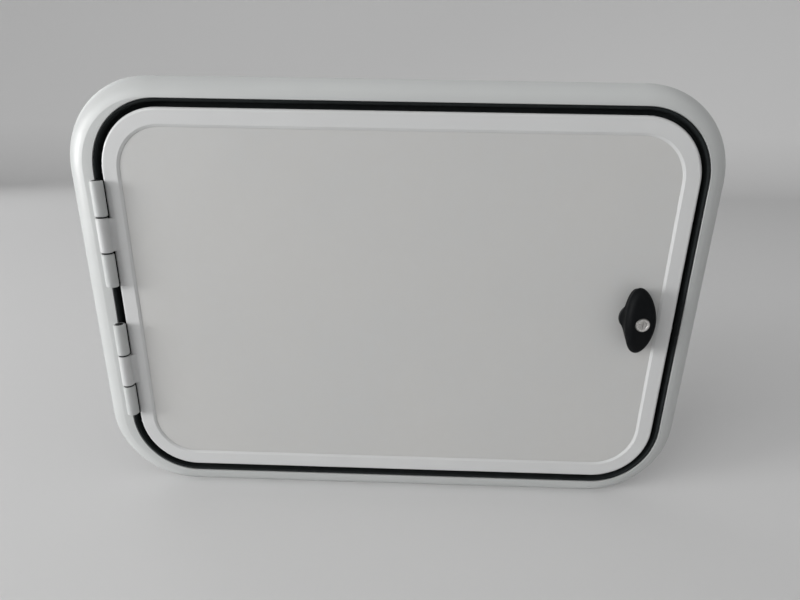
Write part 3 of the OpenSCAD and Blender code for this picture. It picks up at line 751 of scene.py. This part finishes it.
class DOOR_OT_hinge_trim(Operator):
    """Add the washers between the knuckles and the caps in the ends of the hinges"""
    bl_idname = "door.hinge_trim"
    bl_label = "Hinge washers and caps"

    def execute(self, context):
        fixing = context.scene.door_fixings
        middle = (fixing.knuckle_length + fixing.knuckle_gap) / 2
        half = fixing.knuckle_gap / 2 - fixing.washer_play
        washer = [(fixing.washer_bore, middle - half), (fixing.washer_radius, middle - half),
                  (fixing.washer_radius, middle + half), (fixing.washer_bore, middle + half)]
        brim = 1.5 * fixing.knuckle_length + fixing.knuckle_gap - fixing.cap_sink
        dome = [(fixing.cap_radius * math.cos(math.radians(turn)),
                 brim + (fixing.cap_rise + fixing.cap_sink) * math.sin(math.radians(turn)))
                for turn in range(0, 90, 15)]
        top = (0, brim + fixing.cap_rise + fixing.cap_sink)
        washers, caps = bmesh.new(), bmesh.new()
        for pin in ("upper_hinge_pin", "lower_hinge_pin"):
            low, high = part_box(pin)
            seat = (high.z - low.z) / 2 + fixing.pin_play
            cap = [(0, seat), (fixing.cap_radius, seat), *dome, top]
            for end in (-1, 1):
                place = on_axis((low + high) / 2, (0, 0, end))
                loft(washers, [circle(place, r, h, 48) for r, h in washer], closed=True)
                loft(caps, [circle(place, r, h, 48) for r, h in cap])
        # Black washers and caps: real trim that also stands in for the shade in the knuckle gaps and at the
        # hinges' ends
        nylon = finished_by("latch_housing")
        add_piece("hinge_washers", washers, "frame", "latch_black", nylon)
        add_piece("hinge_caps", caps, "frame", "latch_black", nylon)
        return {"FINISHED"}


class DOOR_OT_wall_screws(Operator):
    """Add the screws through the collar, at the holes that the record states"""
    bl_idname = "door.wall_screws"
    bl_label = "Wall screws"

    def execute(self, context):
        fixing = context.scene.door_fixings
        mesh = bmesh.new()
        for mount in RECORD["mounts"]:
            if mount["kind"] != "bolt_pattern":
                continue
            # The rows run along X at the top and bottom, and along Z at the two sides
            axis = Vector(mount["axis"])
            row = Vector((1, 0, 0)) if abs(axis.z) > 0.5 else Vector((0, 0, 1))
            spacing = next(v for k, v in mount["dims"].items() if k.startswith("spacing"))
            seat = Vector(mount["pos_m"]) - axis * fixing.collar_wall / 2
            for side in (-1, 1):
                add_screw(mesh, seat + side * spacing / 2 * MM * row, -axis, fixing.wall_screw,
                          fixing.wall_screw_length, fixing.wall_screw_pitch)
        add_piece("wall_screws", mesh, "frame", "nut_steel", finished_by("housing_nut"))
        return {"FINISHED"}


class DOOR_OT_keeper_screws(Operator):
    """Add the two screws that hold the keeper on the collar"""
    bl_idname = "door.keeper_screws"
    bl_label = "Keeper screws"

    def execute(self, context):
        fixing = context.scene.door_fixings
        low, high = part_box("latch_keeper")
        mesh = bmesh.new()
        for end, inward in ((low.z, 1), (high.z, -1)):
            seat = Vector((high.x - fixing.keeper_plate, high.y - fixing.keeper_plate,
                           end + inward * fixing.keeper_screw_inset))
            add_screw(mesh, seat, (-1, 0, 0), fixing.keeper_screw,
                      fixing.keeper_screw_length, fixing.keeper_screw_pitch)
        add_piece("keeper_screws", mesh, "frame", "nut_steel", finished_by("housing_nut"))
        return {"FINISHED"}


class DOOR_OT_threads(Operator):
    """Add the threads that show behind the two nuts of the latch"""
    bl_idname = "door.threads"
    bl_label = "Threads"

    def execute(self, context):
        fixing = context.scene.door_fixings
        pitch = fixing.latch_pitch
        place = on_axis((KNOB_AXIS.x, 0, KNOB_AXIS.z), (0, 1, 0))
        for name, body, slot, shaft, nut, radius in (
                ("stud_thread", "knob", "spindle_steel", "latch_spindle", "cam_nut",
                 fixing.stud_radius),
                ("housing_thread", "leaf", "latch_black", "latch_housing", "housing_nut",
                 fixing.housing_radius)):
            # The ridge starts on the nut's face and stops short of the shaft's end
            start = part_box(nut)[1].y + 0.3 * pitch
            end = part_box(shaft)[1].y - 0.7 * pitch
            mesh = bmesh.new()
            add_thread(mesh, place, radius, fixing.latch_thread, pitch, start, end, steps=36)
            add_piece(name, mesh, body, slot, finished_by(shaft))
        return {"FINISHED"}


def cove(size):
    """Floor that bends up into a backdrop, as one swept sheet."""
    low = CAD_BOX[0].z
    steps = 24
    centre = Vector((0, size.cove_depth, low + size.cove_radius))
    profile = [Vector((0, -size.floor_size, low))]
    for i in range(steps + 1):
        angle = math.pi / 2 * i / steps
        profile.append(centre + size.cove_radius * Vector((0, math.sin(angle), -math.cos(angle))))
    profile.append(Vector((0, size.cove_depth + size.cove_radius, low + size.cove_height)))
    mesh = bmesh.new()
    sides = []
    for x in (-size.floor_size, size.floor_size):
        sides.append([mesh.verts.new((x, p.y, p.z)) for p in profile])
    for i in range(len(profile) - 1):
        mesh.faces.new((sides[0][i], sides[1][i], sides[1][i + 1], sides[0][i + 1]))
    data = bpy.data.meshes.new("cove")
    mesh.to_mesh(data)
    mesh.free()
    data.shade_smooth()
    return data


def add_lamp(name, place, width, power):
    """A square soft lamp that looks at the middle of the door."""
    data = bpy.data.lights.new(name, "AREA")
    data.shape = "SQUARE"
    data.size = width
    data.energy = power
    lamp = bpy.data.objects.new(name, data)
    lamp.location = place
    lamp.rotation_mode = "QUATERNION"
    lamp.rotation_quaternion = (-Vector(place)).to_track_quat("-Z", "Y")
    bpy.context.collection.objects.link(lamp)
    return lamp


class DOOR_OT_stage(Operator):
    """Set up the pale floor and backdrop, the lamps, the surroundings and the camera"""
    bl_idname = "door.stage"
    bl_label = "Stage and camera"

    def execute(self, context):
        size = context.scene.door_stage
        backdrop = bpy.data.objects.new("floor_and_backdrop", cove(size))
        context.collection.objects.link(backdrop)
        shade = Shade("pale_floor", size.floor_colour, roughness=0.9, specular=0.1)
        shade.tint(shade.behind(), size.backdrop_colour, start=size.cove_depth,
                   end=size.cove_depth + size.cove_radius / 2)
        backdrop.data.materials.append(shade.material)

        side = add_lamp("side_lamp", size.side_place, size.side_width, size.side_power)
        side.data.spread = size.side_spread
        add_lamp("front_lamp", size.front_place, size.front_width, size.front_power)
        add_lamp("back_lamp", size.back_place, size.back_width, size.back_power)

        world = bpy.data.worlds.new("pale_surroundings")
        world.use_nodes = True
        background = world.node_tree.nodes["Background"]
        background.inputs["Color"].default_value = (1, 1, 1, 1)
        background.inputs["Strength"].default_value = size.sky
        context.scene.world = world

        lens = bpy.data.cameras.new("camera")
        lens.sensor_width = size.sensor
        lens.lens = size.lens
        lens.shift_x = size.shift_x
        lens.shift_y = size.shift_y
        lens.clip_start = size.clip_start
        camera = bpy.data.objects.new("camera", lens)
        look = Vector(size.camera_look).normalized()
        right = look.cross(Vector(size.camera_up)).normalized()
        up = right.cross(look)
        axes = Matrix((right, up, -look)).transposed().to_4x4()
        camera.matrix_world = Matrix.Translation(Vector(size.camera_place)) @ axes
        context.collection.objects.link(camera)
        context.scene.camera = camera
        context.scene.view_settings.view_transform = "Standard"
        return {"FINISHED"}


SETTINGS = {"door_finish": DoorFinish, "door_knob": KnobShape, "door_fixings": FixingSize,
            "door_stage": StageSize}
STEPS = (DOOR_OT_mouldings, DOOR_OT_skins, DOOR_OT_seal, DOOR_OT_steelwork, DOOR_OT_lock,
         DOOR_OT_knob, DOOR_OT_shutter, DOOR_OT_hinge_trim, DOOR_OT_wall_screws,
         DOOR_OT_keeper_screws, DOOR_OT_threads, DOOR_OT_stage)


class DOOR_PT_panel(Panel):
    """Sidebar panel with the door's sizes, colours and steps"""
    bl_label = "Storage Door"
    bl_space_type = "VIEW_3D"
    bl_region_type = "UI"
    bl_category = "Storage Door"

    def draw(self, context):
        for group in SETTINGS:
            settings = getattr(context.scene, group)
            box = self.layout.box()
            for name in settings.__annotations__:
                box.prop(settings, name)
        for step in STEPS:
            self.layout.operator(step.bl_idname)


CLASSES = (*SETTINGS.values(), *STEPS, DOOR_PT_panel)


def register():
    """Adds the settings, the operators and the panel."""
    for item in CLASSES:
        bpy.utils.register_class(item)
    for group, kind in SETTINGS.items():
        setattr(bpy.types.Scene, group, PointerProperty(type=kind))


def unregister():
    """Takes them away again."""
    for group in SETTINGS:
        delattr(bpy.types.Scene, group)
    for item in reversed(CLASSES):
        bpy.utils.unregister_class(item)


def main():
    """Runs every step in order."""
    register()
    bpy.ops.door.mouldings()
    bpy.ops.door.skins()
    bpy.ops.door.seal()
    bpy.ops.door.steelwork()
    bpy.ops.door.lock()
    bpy.ops.door.knob()
    bpy.ops.door.shutter()
    bpy.ops.door.hinge_trim()
    bpy.ops.door.wall_screws()
    bpy.ops.door.keeper_screws()
    bpy.ops.door.threads()
    bpy.ops.door.stage()


if __name__ == "__main__":
    main()
